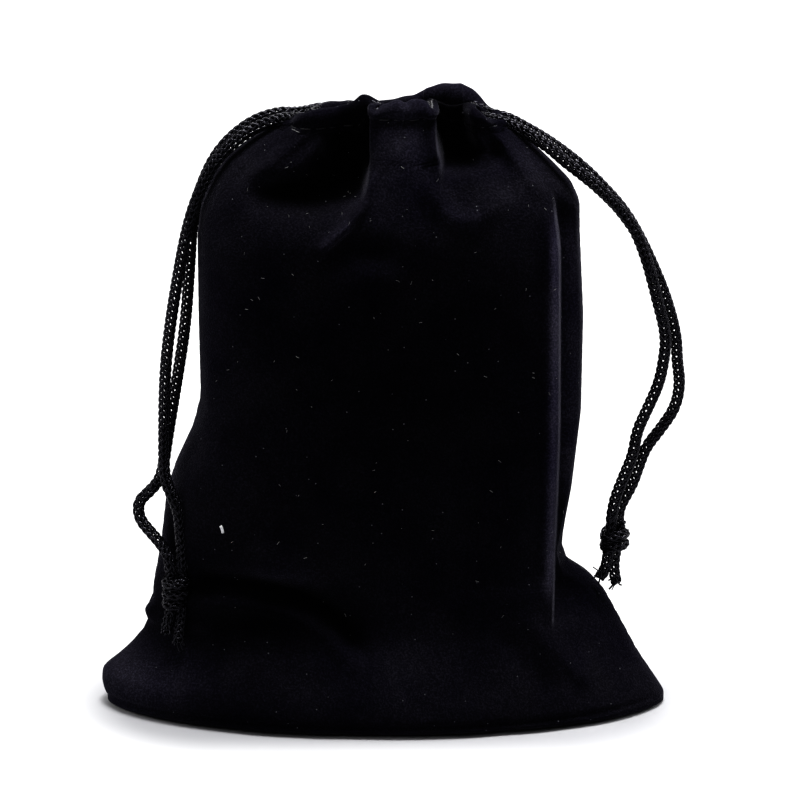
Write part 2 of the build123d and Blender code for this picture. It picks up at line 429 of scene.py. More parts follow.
def knit_line(rail, seed, size=1.0):
    """The yarn's line along a knitted cord, whose tube is size times its usual radius."""
    loops = int(WALES * rail.length / COURSE)
    turn = np.arange(loops * LOOP_STEPS + 1) / LOOP_STEPS
    uneven = np.random.default_rng(seed).normal(0, 1, (3, loops + 2))
    which = np.clip(turn.astype(int), 0, loops + 1)
    lean = LOOP_LEAN * (1 + UNEVEN_LEAN * uneven[0, which])
    reach = LOOP_REACH * COURSE * (1 + UNEVEN_REACH * uneven[1, which])
    angle = TAU / WALES * (turn + lean * np.sin(2 * TAU * turn))
    distance = np.clip(COURSE * turn / WALES - reach * np.cos(TAU * turn), 0, rail.length)
    out = size * KNIT_RADIUS - LOOP_DEPTH * np.cos(2 * TAU * turn)
    position, _, side, up = rail.at(distance)
    return position + out[:, None] * (np.cos(angle)[:, None] * side + np.sin(angle)[:, None] * up)


def knitted(points, seed, size=1.0):
    """The yarn of a knitted cord along dense points, as a line and a radius."""
    return knit_line(Rail(points), seed, size), YARN_RADIUS


def join_tubes(name, tubes, material):
    """One piece made of tubes, each a pair of a line and a radius."""
    vertices, faces, base = [], [], 0
    for line, radius in tubes:
        ring_vertices, ring_faces = tube_mesh(line, radius)
        vertices.append(ring_vertices)
        faces += [[base + v for v in face] for face in ring_faces]
        base += len(ring_vertices)
    return new_object(name, np.concatenate(vertices), faces, material)


def add_tails():
    tails = {}
    for side, face, route, seed in (
        ("left", "front", LEFT_FRONT, 1),
        ("left", "back", LEFT_BACK, 2),
        ("right", "front", RIGHT_FRONT, 3),
        ("right", "back", RIGHT_BACK, 4),
    ):
        points = spline_points(route)
        piece = join_tubes(f"{side}_{face}_strand", [knitted(points, seed)], yarn)
        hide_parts(f"{side}_{face}_lead", f"{side}_{face}_tail")
        tails[side, face] = (piece, points)
    return tails


tails = add_tails()

# Each knot is a wrap round the two strands, and the strands' ends come out below it. In millimetres.
KNOT_RADIUS = 3.1  # outside
KNOT_PITCH = 2.15  # from one turn of the wrap to the next
KNOT_CORE = 0.95  # the wrap's radius where it tucks in
WRAP_FIRST_ANGLE = -0.6
WRAP_POINTS = 10  # points a turn
LEFT_KNOT = (-41.5, -10.5, 27.6)
RIGHT_KNOT = (46.4, -3.2, 35.8)
LEFT_ENDS = [
    [(-40.6, -10.2, 33.2), (-40.4, -10.4, 31), (-40.4, -10.5, 27), (-40.6, -10.9, 23), (-41.0, -11.8, 20),
     (-41.2, -12.6, 17.2)],
    [(-42.4, -10.2, 33.2), (-42.6, -10.4, 31), (-42.6, -10.5, 27), (-42.7, -10.8, 23.4), (-43.2, -11.2, 21),
     (-43.8, -11.5, 18.8)],
]
RIGHT_ENDS = [
    [(45.8, -4.2, 41), (45.6, -4.2, 38.6), (45.2, -4.0, 35), (45.0, -3.8, 31.6), (44.5, -3.7, 29.2),
     (43.4, -3.7, 27.6)],
    [(47.1, -2.5, 41), (47.2, -2.6, 38.6), (47.0, -2.6, 35), (46.4, -2.7, 31.4), (46.3, -2.9, 28.8),
     (46.9, -3.0, 26.4)],
]


def smooth_step(value):
    value = np.clip(value, 0, 1)
    return value * value * (3 - 2 * value)


def wrap_route(centre, lean, turns, seed):
    """Points of a knot's wrap: uneven turns round the two strands, leaning to one side."""
    draw = np.random.default_rng(seed)
    count = int(turns * WRAP_POINTS)
    loose = KNOT_RADIUS - CORD_RADIUS / MM - KNOT_CORE
    route = []
    for i in range(count + 1):
        share = i / count
        angle = TAU * turns * share + WRAP_FIRST_ANGLE
        radius = KNOT_CORE + loose * smooth_ends(share) + draw.normal(0, 0.05)
        x = radius * math.cos(angle)
        y = 0.92 * radius * math.sin(angle)
        z = KNOT_PITCH * turns * (0.5 - share) + lean * x + draw.normal(0, 0.06)
        route.append((centre[0] + x, centre[1] + y, centre[2] + z))
    return route


def smooth_ends(share):
    """0 at both ends of a wrap, where it tucks in, and 1 along the rest."""
    return smooth_step(min(share, 1 - share) / 0.14)


FILAMENTS = 16


def frayed(tip, along, draw):
    """Loose filaments where a strand was cut."""
    tubes = []
    for _ in range(FILAMENTS):
        way = along + draw.normal(0, 0.42, 3)
        way /= np.linalg.norm(way)
        bend = draw.normal(0, 1.0, 3)
        reach = draw.uniform(0.7, 1.6) * MM
        start = tip - along * 0.7 * MM + draw.normal(0, 0.42, 3) * MM
        t = np.linspace(0, 1, 7)[:, None]
        line = start + reach * (way * t + bend * t * t * 0.5)
        tubes.append((line, draw.uniform(0.07, 0.2) * MM))
    return tubes


def add_knot(side, centre, ends, lean, turns, seed):
    draw = np.random.default_rng(seed)
    wrap_points = spline_points(wrap_route(centre, lean, turns, seed))
    wrap = join_tubes(f"{side}_knot_wraps", [knitted(wrap_points, seed, 0.98)], yarn)
    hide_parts(f"{side}_knot")
    tubes = []
    for k, route in enumerate(ends):
        tubes.append(knitted(spline_points(route), seed + 10 + k, 0.96))
        tip, before = np.array(route[-1]) * MM, np.array(route[-2]) * MM
        along = (tip - before) / np.linalg.norm(tip - before)
        tubes += frayed(tip, along, draw)
    cut = join_tubes(f"{side}_frayed_ends", tubes, yarn)
    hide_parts(f"{side}_cut_ends")
    for piece in (wrap, cut):
        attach(piece, f"{side}_tails")
    return wrap, cut


knots = {
    "left": add_knot("left", LEFT_KNOT, LEFT_ENDS, 0.35, 3.1, 41),
    "right": add_knot("right", RIGHT_KNOT, RIGHT_ENDS, 0.42, 2.6, 52),
}


# ---- Velvet ----
# Sizes and places are in millimetres until cloth_object.
PROFILE_STEP = 0.25


def profile(pairs, blur=1.0):
    """A smooth function through (place, value) pairs."""
    places, values = np.array(pairs, float).T
    dense = np.arange(places[0] - 8 * blur, places[-1] + 8 * blur, PROFILE_STEP)
    level = np.interp(dense, places, values)
    reach = np.arange(-3 * blur, 3 * blur + 0.01, PROFILE_STEP)
    weight = np.exp(-((reach / blur) ** 2))
    smooth = np.convolve(np.pad(level, len(reach) // 2, "edge"), weight / weight.sum(), "valid")
    return lambda z: np.interp(z, dense, smooth[: len(dense)])


# Where the two side seams run, as (height, x).
LEFT_EDGE = profile(
    [
        (0, -54.4), (2, -57), (4.5, -57.6), (7.2, -57.4), (9.4, -54.6), (12, -51.8), (14.6, -49.6),
        (17, -47.8), (19.6, -48.8), (22, -47), (26, -46.6), (32, -45.4), (36, -44.8), (45, -43.7),
        (51, -41.8), (59, -38.1), (65, -36.6), (82, -36.8), (99, -36.8), (105, -35.9), (110, -33.8),
        (114, -30.8), (117.5, -26.4), (119.8, -22.5), (121.6, -19.4), (124, -16.5),
    ],
    0.7,
)
RIGHT_EDGE = profile(
    [
        (0, 55.6), (1.5, 57.4), (5, 55.2), (10.5, 51.6), (17, 48.2), (24, 44.5), (27.3, 41.6),
        (30.3, 36.9), (34, 35.8), (39, 36.5), (46, 37.7), (62, 39.4), (82, 39.6), (99, 38.7),
        (105, 38.6), (109, 36.9), (112.5, 33.6), (116, 30), (119, 26.6), (121.6, 23.6), (124, 21),
    ],
    0.7,
)
# How far the front and back stand out, and how square their two ends are.
SWELL = profile(
    [(0, 22.9), (3, 23.1), (10, 21.6), (24, 19.6), (60, 19.2), (92, 18.6), (101, 18), (108, 16.2),
     (115, 12.8), (121, 8.8), (124, 8)],
    2.5,
)
BLUNT = profile([(0, 0.53), (10, 0.62), (24, 0.70), (36, 0.52), (98, 0.50), (110, 0.55), (121, 0.5)], 4)
SQUARE = profile([(0, 2.1), (12, 2.3), (30, 3.2), (50, 3.8), (100, 3.6), (112, 2.8), (121, 3.0)], 4)

STITCH_LINE = 121.4  # height of the hem's stitching
WALL_FOOT = 1.8  # where the wall starts, above its turned bottom edge
WALL_STEP = 0.5  # from one row of the cloth to the next
COLUMNS = 260
FINE = 640  # places along a row before its columns are spread evenly
SLOPE = math.tan(ELEVATION)


def rounded(points):
    """A few points joined by a smooth line, each run bending into the next."""
    points = np.array(points, float)
    if len(points) < 3:
        return points
    middles = (points[:-1] + points[1:]) / 2
    line = [points[0]]
    for i in range(1, len(points) - 1):
        for t in np.linspace(0, 1, 6):
            line.append((1 - t) ** 2 * middles[i - 1] + 2 * t * (1 - t) * points[i] + t * t * middles[i])
    line.append(points[-1])
    return np.array(line)


def gap_to(points, x, z):
    """Distance to a line, the nearest place's share of it, and the distance with its side's sign."""
    best = np.full(x.shape, np.inf)
    where = np.zeros(x.shape)
    side = np.zeros(x.shape)
    runs = np.linalg.norm(np.diff(points, axis=0), axis=1)
    before = np.concatenate(([0], np.cumsum(runs)))
    for i, run in enumerate(runs):
        if run < SAME_PLACE:
            continue
        ax, az = points[i]
        dx, dz = (points[i + 1] - points[i]) / run
        t = np.clip((x - ax) * dx + (z - az) * dz, 0, run)
        ox, oz = x - ax - t * dx, z - az - t * dz
        far = np.hypot(ox, oz)
        nearer = far < best
        best = np.where(nearer, far, best)
        where = np.where(nearer, (before[i] + t) / before[-1], where)
        side = np.where(nearer, np.sign(dx * oz - dz * ox) * far, side)
    return best, where, side


def ends_fade(where, taper):
    """1 along a fold and 0 at both its ends, over this share of its length."""
    return smooth_step(where / taper) * smooth_step((1 - where) / taper) if taper else 1.0


def ridge(points, width, height, taper=0.25, sharp=2.0):
    """A fold: raised by height along a line, or sunk where height is negative, fading at both ends."""
    line = rounded(points)

    def shape(x, z):
        far, where, _ = gap_to(line, x, z)
        return height * ends_fade(where, taper) * np.exp(-((far / width) ** sharp))

    return shape


def lip(points, rise, drop, above, below, edge=1.2, taper=0.2):
    """A fold that hangs over: it swells out on the left of its line's direction and is sunk on the right."""
    line = rounded(points)

    def shape(x, z):
        far, where, side = gap_to(line, x, z)
        step = smooth_step((side + edge) / (2 * edge))
        swell = rise * np.exp(-((far / above) ** 2))
        sunk = -drop * np.exp(-((far / below) ** 2))
        return ends_fade(where, taper) * (step * swell + (1 - step) * sunk)

    return shape


def hollow(cx, cz, rx, rz, depth, turn=0.0, sharp=2.0):
    """A soft dent, or a swelling where depth is negative."""
    c, s = math.cos(math.radians(turn)), math.sin(math.radians(turn))

    def shape(x, z):
        a = ((x - cx) * c + (z - cz) * s) / rx
        b = (-(x - cx) * s + (z - cz) * c) / rz
        return -depth * np.exp(-(np.hypot(a, b) ** sharp))

    return shape


def tongue_share(x):
    """1 on the part of the mouth that stands forward between two deep folds, 0 beside it."""
    return smooth_step((x + 4.6) / 1.7) * smooth_step((12.2 - x) / 1.9)


def undercut(x, z):
    """Draws the cloth beside the tongue in behind its two edges."""
    share = smooth_step((z - 103) / 8)
    left = 3.6 * np.exp(-(((x + 5.6) / 1.7) ** 2))
    right = -2.7 * np.exp(-(((x - 13.2) / 1.9) ** 2)) * smooth_step((z - 107) / 8)
    return share * (left + right)


def tongue(x, z):
    middle = 1 - 0.35 * ((x - 3.6) / 8) ** 2
    return 2.9 * tongue_share(x) * middle * smooth_step((z - 101) / 13)


# Folds are placed as (x, height), with the height as the camera sees it on the front.
FRONT_FOLDS = [
    tongue,
    # the deep fold left of the tongue, which runs on to the left under the shoulder
    ridge([(-7.9, 120.5), (-8.0, 113), (-6.8, 102)], 3.6, -7.2, taper=0.2),
    ridge([(-3, 104.6), (-13, 104.8), (-30, 105.2)], 3.2, -4.6, taper=0.4),
    hollow(-11, 107.8, 9, 5.4, 6.4, 36),
    # the deep fold right of it
    ridge([(14.2, 121.5), (14.4, 116), (15, 109)], 2.8, -9.0, taper=0.2, sharp=2.6),
    ridge([(15, 115), (19, 113), (23.5, 111.5)], 3.2, -3.6, taper=0.3),
    # the crease that sweeps down to the left from the tongue
    ridge([(-14.2, 92.8), (-9.5, 97), (-5.2, 101.2), (-1.4, 109.5)], 1.35, 2.9, taper=0.22),
    hollow(-3.5, 93.8, 5.5, 2.8, 2.4, -14),
    ridge([(-13, 86), (-4, 89), (5, 90)], 3.0, 0.8),
    # the lit sweep under the right fold
    ridge([(8.6, 109.5), (10.4, 103.8), (14.6, 100.2), (20, 101.4), (24.5, 107.5)], 2.3, 1.9),
    # gathers that run from the mouth down the shoulders
    ridge([(-13, 121), (-20, 115), (-27, 108)], 1.7, 1.3),
    ridge([(-17, 119), (-26, 113), (-31, 105)], 1.4, -0.9),
    ridge([(20, 121), (27, 113), (31, 104)], 1.9, 1.5),
    ridge([(18.2, 121), (23.6, 112), (25, 103)], 1.5, -1.2),
    ridge([(2.2, 124), (1.6, 113), (-0.6, 104)], 1.2, -0.7),
    ridge([(7.6, 124), (7.8, 114), (8.6, 107)], 1.1, -0.6),
    # the front edge of the upright crease near the right side
    ridge([(32.2, 106), (33.3, 98), (33.7, 60), (33.3, 34), (32.7, 14)], 2.0, 1.7, taper=0.12),
    # the overhanging fold at the lower left, with a dark hollow under it
    lip([(-3.0, 7), (-6.8, 12), (-11.8, 17.6), (-19, 21.6), (-28, 23.2), (-43, 23.6)],
        2.6, 5.4, 6.0, 5.6, edge=1.8),
    hollow(-21, 28.5, 6.5, 3.4, -1.5, -8),
    hollow(-25, 18.5, 12.5, 4.2, 2.0, -4),
    hollow(-11, 12.5, 6, 4, 1.5, -38),
    # soft dents of the slack front
    hollow(-24, 62, 9, 15, -0.7, 8),
    hollow(10, 60, 17, 26, 0.9, -6),
    hollow(24, 40, 7, 16, -0.6, -10),
    hollow(3, 32, 14, 9, 0.6, 12),
    ridge([(-38, 54), (-30, 44), (-22, 40)], 4.5, 0.8),
    ridge([(27, 20), (36, 10), (43, 3)], 2.4, 1.2),
    ridge([(22, 16), (30, 7), (35, 1)], 2.6, -0.9),
    ridge([(-49, 19.6), (-44, 18.6), (-38, 17)], 0.9, -1.3),
]
BACK_FOLDS = [
    ridge([(-1, 122), (-1, 112), (1, 99)], 2.6, -5.5, taper=0.2),
    ridge([(10.5, 122), (11, 114), (15, 104)], 2.4, -4.8, taper=0.2),
    ridge([(-11.5, 122), (-12.5, 114), (-18, 105)], 2.4, -4.4, taper=0.2),
    ridge([(4.8, 124), (5.2, 110), (8, 94)], 2.2, 1.8, taper=0.2),
    ridge([(-6.6, 124), (-7.6, 111), (-11, 96)], 2.2, 1.6, taper=0.2),
    ridge([(15.5, 121), (22, 114), (27, 104)], 1.9, 1.3),
    ridge([(-15.5, 121), (-23, 114), (-27, 104)], 1.9, 1.3),
    lip([(19, 85), (8, 92), (-2, 92.5), (-10, 88)], 1.2, 1.5, 4, 5, edge=1.6),
    hollow(-12, 66, 13, 22, 0.9, 10),
    hollow(18, 58, 10, 20, 0.8, -8),
    ridge([(-33.8, 101), (-33.6, 62), (-34.8, 42)], 1.6, 1.0, taper=0.2),
    ridge([(34.4, 100), (34.4, 60), (33.2, 36)], 1.6, 1.0, taper=0.2),
    lip([(41, 27), (32, 29), (20, 25), (9, 15)], 1.3, 2.4, 5, 6.5, edge=1.8),
    ridge([(-44, 9), (-36, 18), (-30, 28)], 2.6, 1.1),
    ridge([(-24, 8), (-20, 18)], 3.0, 0.8),
]
# painted light and shade, placed like the folds: the colour is painted paler, as lit, on the tongue, the
# upright crease, the shoulders, the creases and the flared base, and darker, as shaded, in the middle and
# under the lower left fold
FRONT_PAINTED_LIGHT = [
    hollow(3.8, 114, 6.4, 11, -1.5),
    hollow(3, 103, 11, 5, -0.5),
    ridge([(33.3, 106), (33.4, 80), (33.4, 50), (33.1, 20)], 1.0, 4.6, taper=0.15),
    ridge([(37, 104), (37, 40)], 2.6, 1.9, taper=0.15),
    hollow(-26, 112, 10, 9, -0.25),
    hollow(27, 112, 8, 9, -0.7),
    hollow(-50, 5, 12, 7, -2.0),
    hollow(0, 6, 26, 8, -0.9),
    hollow(44, 12, 12, 12, -0.4),
    hollow(-19, 27, 7, 3.4, -0.9, -8),
    hollow(-34, 80, 6, 22, -0.5),
    hollow(-24, 17, 14, 5, 0.6),
    hollow(4, 66, 22, 26, 0.42),
    ridge([(-13, 94), (-9.5, 97), (-5.2, 101.2)], 1.2, 1.1),
    ridge([(10.4, 103.8), (14.6, 100.2), (20, 101.4)], 2.0, 0.7),
    ridge([(-13, 86), (-4, 89), (5, 90)], 3.0, 0.3),
]
BACK_PAINTED_LIGHT = [
    hollow(3, 66, 24, 26, 0.5),
    hollow(0, 8, 34, 8, -0.5),
    hollow(0, 106, 20, 8, -0.4),
    hollow(13, 122, 6, 6, -1.6),
]
FOLD_SHADE_DEPTH = 1.6  # how deep a fold is when the painted shade in it starts
FOLD_SHADE_RANGE = 6.0  # how much deeper it is when the painted shade is darkest
FOLD_SHADE_TONE = 0.03  # how much of the colour the painted shade leaves there
# the least colour that the painted light and shade leave, before the painted shade of the folds
LEAST_PAINTED_LIGHT = 0.3
PLEAT_RISE = 0.34
GROOVE_HEIGHT = 2.5  # the groove over the turned bottom edge
GROOVE_DEPTH = 0.8
TONGUE_RISE = 2.7  # how much higher the tongue's hem is than the rest
# Right of an upright crease the front is tucked back, and shows as a sunk strip beside the seam.
CREASE_X = profile([(12, 33.0), (34, 33.9), (60, 34.4), (98, 34.1), (110, 32.4)], 3)
TUCK_DEPTH = 6.0


def tuck(x, heights, right, out):
    """The front with its strip right of the crease sunk back."""
    crease = CREASE_X(heights)
    share = smooth_step((heights - 19) / 9) * smooth_step((111 - heights) / 8)
    across = np.clip((x - crease) / (right - crease), 0, 1)
    sunk = TUCK_DEPTH * np.sqrt(1 - across**5)
    behind = smooth_step((x - crease) / 0.9) * share
    return out * (1 - behind) + np.minimum(sunk, out) * behind


def wrinkle(seed, spans, amount, count=26):
    """Slow uneven waves over the cloth, as a sum of sines with seeded directions."""
    draw = np.random.default_rng(seed)
    waves = []
    for _ in range(count):
        length = draw.uniform(*spans)
        heading = draw.uniform(0, math.pi)
        pace = TAU / length
        waves.append((pace * math.cos(heading), pace * math.sin(heading), draw.uniform(0, TAU)))

    def shape(x, z):
        total = sum(np.sin(kx * x + kz * z + phase) for kx, kz, phase in waves)
        return amount * total / math.sqrt(count / 2)

    return shape


def blur_rows(field, radius):
    """A small even blur down the rows and then along them."""
    reach = np.arange(-2 * radius, 2 * radius + 1)
    weight = np.exp(-((reach / radius) ** 2))
    weight /= weight.sum()
    for axis in (0, 1):
        margins = [(2 * radius, 2 * radius) if k == axis else (0, 0) for k in (0, 1)]
        padded = np.pad(field, margins, "edge")
        field = np.apply_along_axis(lambda line: np.convolve(line, weight, "valid"), axis, padded)
    return field


def fold_lift(x, seen, t, z, front):
    """How far the folds, pleats and wrinkles raise the cloth above its even shape."""
    lift = sum(fold(x, seen) for fold in (FRONT_FOLDS if front else BACK_FOLDS))
    # small pleats fan out from the gathered mouth
    pleats = np.sin(21 * t + 1.2 * np.sin(5 * t)) + 0.6 * np.sin(37 * t + (2 if front else 4))
    lift = lift + PLEAT_RISE * pleats * smooth_step((z - 107) / 12)
    lift = lift + wrinkle(11 if front else 12, (9, 34), 0.16)(x, seen)
    return blur_rows(lift, 1)


def paint_light_and_shade(x, seen, lift, front):
    """The painted light and shade in the cloth's colour: paler where light falls, darker where shade falls,
    near black in deep folds.
    """
    # painted shade: the deeper a fold, the nearer black its colour
    fold_shade = smooth_step((-lift - FOLD_SHADE_DEPTH) / FOLD_SHADE_RANGE)
    # painted light and shade placed like the folds: paler where lit, darker where shaded
    painted_shading = 1 + sum(area(x, seen) for area in (FRONT_PAINTED_LIGHT if front else BACK_PAINTED_LIGHT))
    return np.maximum(painted_shading, LEAST_PAINTED_LIGHT) * (1 - (1 - FOLD_SHADE_TONE) * fold_shade)


def wall_rows(front):
    """The panel from its foot to the stitching: rows of points, left to right, and the painted light and
    shade at each.
    """
    heights = np.arange(WALL_FOOT, STITCH_LINE + 0.01, WALL_STEP)[:, None]
    t = np.sin(np.linspace(-math.pi / 2, math.pi / 2, FINE))[None, :]
    left, right = LEFT_EDGE(heights), RIGHT_EDGE(heights)
    x = left + (right - left) * (t + 1) / 2
    z = np.broadcast_to(heights, x.shape)
    base = SWELL(heights) * (1 - np.abs(t) ** SQUARE(heights)) ** BLUNT(heights)
    seen = z - SLOPE * base if front else z
    lift = fold_lift(x, seen, t, z, front)
    painted_shading = paint_light_and_shade(x, seen, lift, front)
    lift = lift - GROOVE_DEPTH * np.exp(-(((z - GROOVE_HEIGHT) / 0.6) ** 2))
    out = base + lift * smooth_step((1 - np.abs(t)) / 0.05)
    out = np.maximum(out, 1.3 * smooth_step((1 - np.abs(t)) / 0.03))
    if front:
        out = tuck(x, heights, right, out)
    x = x + undercut(x, seen) if front else x
    raised = TONGUE_RISE * tongue_share(x) * smooth_step((z - 104) / 16) if front else 0.0
    rows = []
    for i in range(len(x)):
        span = np.concatenate(([0], np.cumsum(np.hypot(np.diff(x[i]), np.diff(out[i])))))
        even = np.linspace(0, span[-1], COLUMNS + 1)
        height = (z + raised)[i]
        rows.append([np.interp(even, span, field) for field in (x[i], out[i], height, painted_shading[i])])
    rows = np.moveaxis(np.array(rows), 1, 2)
    if front:
        rows[:, :, 1] *= -1
    return rows[:, :, :3], rows[:, :, 3]


BOTTOM_GAP = 0.45  # how high the bottom's cloth lies
FLAT_SHARE = 0.86  # how much of the bottom's depth lies flat
FLOOR_ROWS = 14
ROLL_ROWS = 5


def panel_rows(front):
    """The whole panel, from the bottom seam over the turned edge and up the wall, and its painted light and
    shade.
    """
    wall, painted_shading = wall_rows(front)
    low = wall[0]
    rows = []
    for share in np.linspace(0, FLAT_SHARE, FLOOR_ROWS):
        rows.append(low * (1, share, 0) + (0, 0, BOTTOM_GAP))
    for turn in np.linspace(0, math.pi / 2, ROLL_ROWS + 2)[1:-1]:
        share = FLAT_SHARE + (1 - FLAT_SHARE) * math.sin(turn)
        height = BOTTOM_GAP + (WALL_FOOT - BOTTOM_GAP) * (1 - math.cos(turn))
        rows.append(low * (1, share, 0) + (0, 0, height))
    return np.concatenate([np.array(rows), wall]), np.concatenate([np.tile(painted_shading[0], (len(rows), 1)), painted_shading])


def grid_faces(rows, columns):
    first = np.arange(rows - 1)[:, None] * columns
    a = first + np.arange(columns - 1)[None, :]
    return np.stack([a, a + 1, a + columns + 1, a + columns], 2).reshape(-1, 4)


def cloth_object(name, rows, front, painted_shading):
    """Cloth as thick as velvet through rows of points, its face side outward, with its painted light and
    shade.
    """
    faces = grid_faces(*rows.shape[:2])
    if not front:
        faces = faces[:, ::-1]
    piece = new_object(name, rows.reshape(-1, 3) * MM, faces.tolist(), velvet)
    # the painted light and shade, stored on the mesh for the velvet's colour
    tone = piece.data.attributes.new("painted_shading", "FLOAT", "POINT")
    tone.data.foreach_set("value", painted_shading.reshape(-1).astype(np.float32))
    solid = piece.modifiers.new("thickness", "SOLIDIFY")
    solid.thickness = CLOTH
    solid.offset = -1
    apply_modifiers(piece)
    return piece


def apply_modifiers(piece):
    depsgraph = bpy.context.evaluated_depsgraph_get()
    mesh = bpy.data.meshes.new_from_object(piece.evaluated_get(depsgraph))
    piece.modifiers.clear()
    old = piece.data
    piece.data = mesh
    bpy.data.meshes.remove(old)
    mesh.polygons.foreach_set("use_smooth", [True] * len(mesh.polygons))


# The hem: the cloth goes on up past the stitching, rolls over both cords and comes down inside.
HEM_TOP_FRONT = profile(
    [(-20, 123.6), (-14, 124.9), (-9, 125.3), (-7.2, 125.4), (-5.8, 126.2), (-4.6, 127.6), (-3.4, 127.5),
     (-2.0, 125.6), (0, 126.8), (2.4, 128.1), (4.2, 127.1), (5.8, 128.0), (7.4, 127.7), (9.2, 126.6),
     (10.6, 125.4), (12.5, 124.6), (14.5, 124.6), (16.5, 125.4), (19, 125.0), (22, 122.8)],
    0.7,
)
HEM_TOP_BACK = profile(
    [(-20, 122.4), (-14, 123.3), (-8, 123.5), (-4, 123.0), (2, 123.6), (6, 124.4), (8.6, 125.9),
     (10.8, 127.1), (15, 127.3), (17.5, 126.2), (20, 124.2), (22, 123.0)],
    0.6,
)
# the hem's outline from the stitching round to the stitching inside: share of its height, and how far inward
HEM_SHAPE = [
    (0.0, 0.0), (0.08, -0.15), (0.17, -0.5), (0.30, -0.95), (0.46, -1.2), (0.64, -1.2), (0.80, -0.9),
    (0.92, -0.35), (0.99, 0.3), (1.0, 1.0), (0.97, 1.7), (0.88, 2.2), (0.74, 2.5), (0.55, 2.7),
    (0.38, 2.6), (0.2, 2.1), (0.05, 1.4), (-0.12, 1.05), (-0.3, 1.0),
]
HEM_RING = 44
CLOTH = 0.85 * MM
EASE = 9  # how many columns to each side the hem's direction is eased over
STANDS_OFF = 0.15  # the least gap between the hem and the plane between the panels


def sideways(x, y, outward):
    """The way out of the cloth at each place of a row, seen from above, eased so that it turns slowly."""
    run = np.stack([np.gradient(x), np.gradient(y)], 1)
    run /= np.linalg.norm(run, axis=1)[:, None]
    way = np.stack([-outward * run[:, 1], outward * run[:, 0]], 1)
    weight = np.exp(-((np.arange(-EASE, EASE + 1) / 5.0) ** 2))
    weight /= weight.sum()
    padded = np.pad(way, [(EASE, EASE), (0, 0)], "edge")
    eased = np.stack([np.convolve(padded[:, k], weight, "valid") for k in (0, 1)], 1)
    eased[:, 0] *= 0.8
    return eased / np.linalg.norm(eased, axis=1)[:, None]


def hem_rows(panel, front):
    """Rows of the hem from the panel's top row, round its outline, to the stitching inside."""
    x, y, z = panel[-1].T
    top = HEM_TOP_FRONT if front else HEM_TOP_BACK
    outward = -1 if front else 1
    turn = np.linspace(0, len(HEM_SHAPE) - 1, HEM_RING + 1)
    share = np.interp(turn, np.arange(len(HEM_SHAPE)), [a for a, _ in HEM_SHAPE])
    across = np.interp(turn, np.arange(len(HEM_SHAPE)), [b for _, b in HEM_SHAPE])
    ripple = wrinkle(21 if front else 22, (3.5, 9), 0.4, 14)
    edge = np.abs(np.linspace(-1, 1, len(x)))
    narrow = 1 - 0.45 * smooth_step((edge - 0.86) / 0.14)
    way = sideways(x, y, outward)
    way[:, 0] *= 1 - smooth_step((edge - 0.80) / 0.12)
    rings = [panel[-3]]
    for a, b in zip(share, across):
        rise = a * (top(x) - z) * (1 - 0.42 * smooth_step((edge - 0.8) / 0.2))
        push = ripple(x, 0.6 * rise) * smooth_step(a * 4) * smooth_step((1 - edge) / 0.08)
        draw_in = x - 0.09 * (x - 2) * smooth_step((edge - 0.5) / 0.5) * np.clip(a, 0, 1)
        off = push - b * narrow
        out = np.maximum(outward * (y + off * way[:, 1]), STANDS_OFF)
        side_off = off * way[:, 0] * np.where(off > 0, 0.35, 1.0)
        rings.append(np.stack([draw_in + side_off, outward * out, z + rise], 1))
    return np.array(rings)


panel_grids = {}
hem_rings = {}
for face in ("front", "back"):
    is_front = face == "front"
    rows, painted_shading = panel_rows(is_front)
    rings = hem_rows(rows, is_front)
    panel = cloth_object(f"{face}_velvet", rows, is_front, painted_shading)
    # the hem carries the painted light and shade of the panel's top row
    hem = cloth_object(f"{face}_hem", rings, is_front, np.tile(painted_shading[-1], (len(rings), 1)))
    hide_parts(f"{face}_panel")
    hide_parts(f"{face}_channel")
    for piece in (panel, hem):
        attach(piece, "bag")
    panel_grids[face] = rows
    hem_rings[face] = rings


# ---- The drawstrings inside the hem ----
LANE_STEP = 5  # columns of the hem from one of a cord's points to the next
INNER_SIZE = 0.75  # the cord is squeezed in the hem


def lane(face, low, first, last):
    """Points midway between the hem's two sides, from x first to x last, at this share of its outline."""
    rings = hem_rings[face]
    middle = (rings[1 + int(HEM_RING * low)] + rings[HEM_RING - int(HEM_RING * low)]) / 2
    start, end = (int(np.argmax(middle[:, 0] > x)) for x in sorted((first, last)))
    run = [tuple(point) for point in middle[start:end:LANE_STEP]]
    return run if first < last else run[::-1]


def add_inner(side, first, last, low, seed):
    """One drawstring's run through both halves of the hem, turning back at the far seam."""
    out_run = lane("front", low, first, last)
    back_run = lane("back", low, first, last)[::-1]
    turn_x = last + math.copysign(1.6, last - first)
    bend = [(turn_x, 0.45 * y, z) for _, y, z in (out_run[-1], back_run[0])]
    points = spline_points(out_run + bend + back_run)
    inner = join_tubes(f"{side}_cord_in_hem", [knitted(points, seed, INNER_SIZE)], yarn)
    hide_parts(f"{side}_cord_loop")
    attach(inner, f"{side}_drawstring")


add_inner("left", EXIT_LEFT + 0.5, 16.5, 0.19, 61)
add_inner("right", EXIT_RIGHT - 0.5, -12.5, 0.27, 62)


# ---- Thread ----
THREAD_RADIUS = 0.16 * MM
STITCH_PITCH = 3.0 * MM
STITCH_SINK = 0.10  # how far a stitch's two ends go into the cloth, in millimetres


def stitch(start, end, outward, arch):
    """One stitch: it dips into the cloth at both ends and lies on it between them."""
    t = np.linspace(0, 1, 9)[:, None]
    line = start + (end - start) * t
    height = (arch * np.sin(math.pi * t) ** 0.6 - STITCH_SINK) * MM
    return line + outward * height


def points_at(distances, along, field):
    """A field of threes read at distances along its line."""
    return np.stack([np.interp(distances, along, field[:, k]) for k in range(3)], 1)


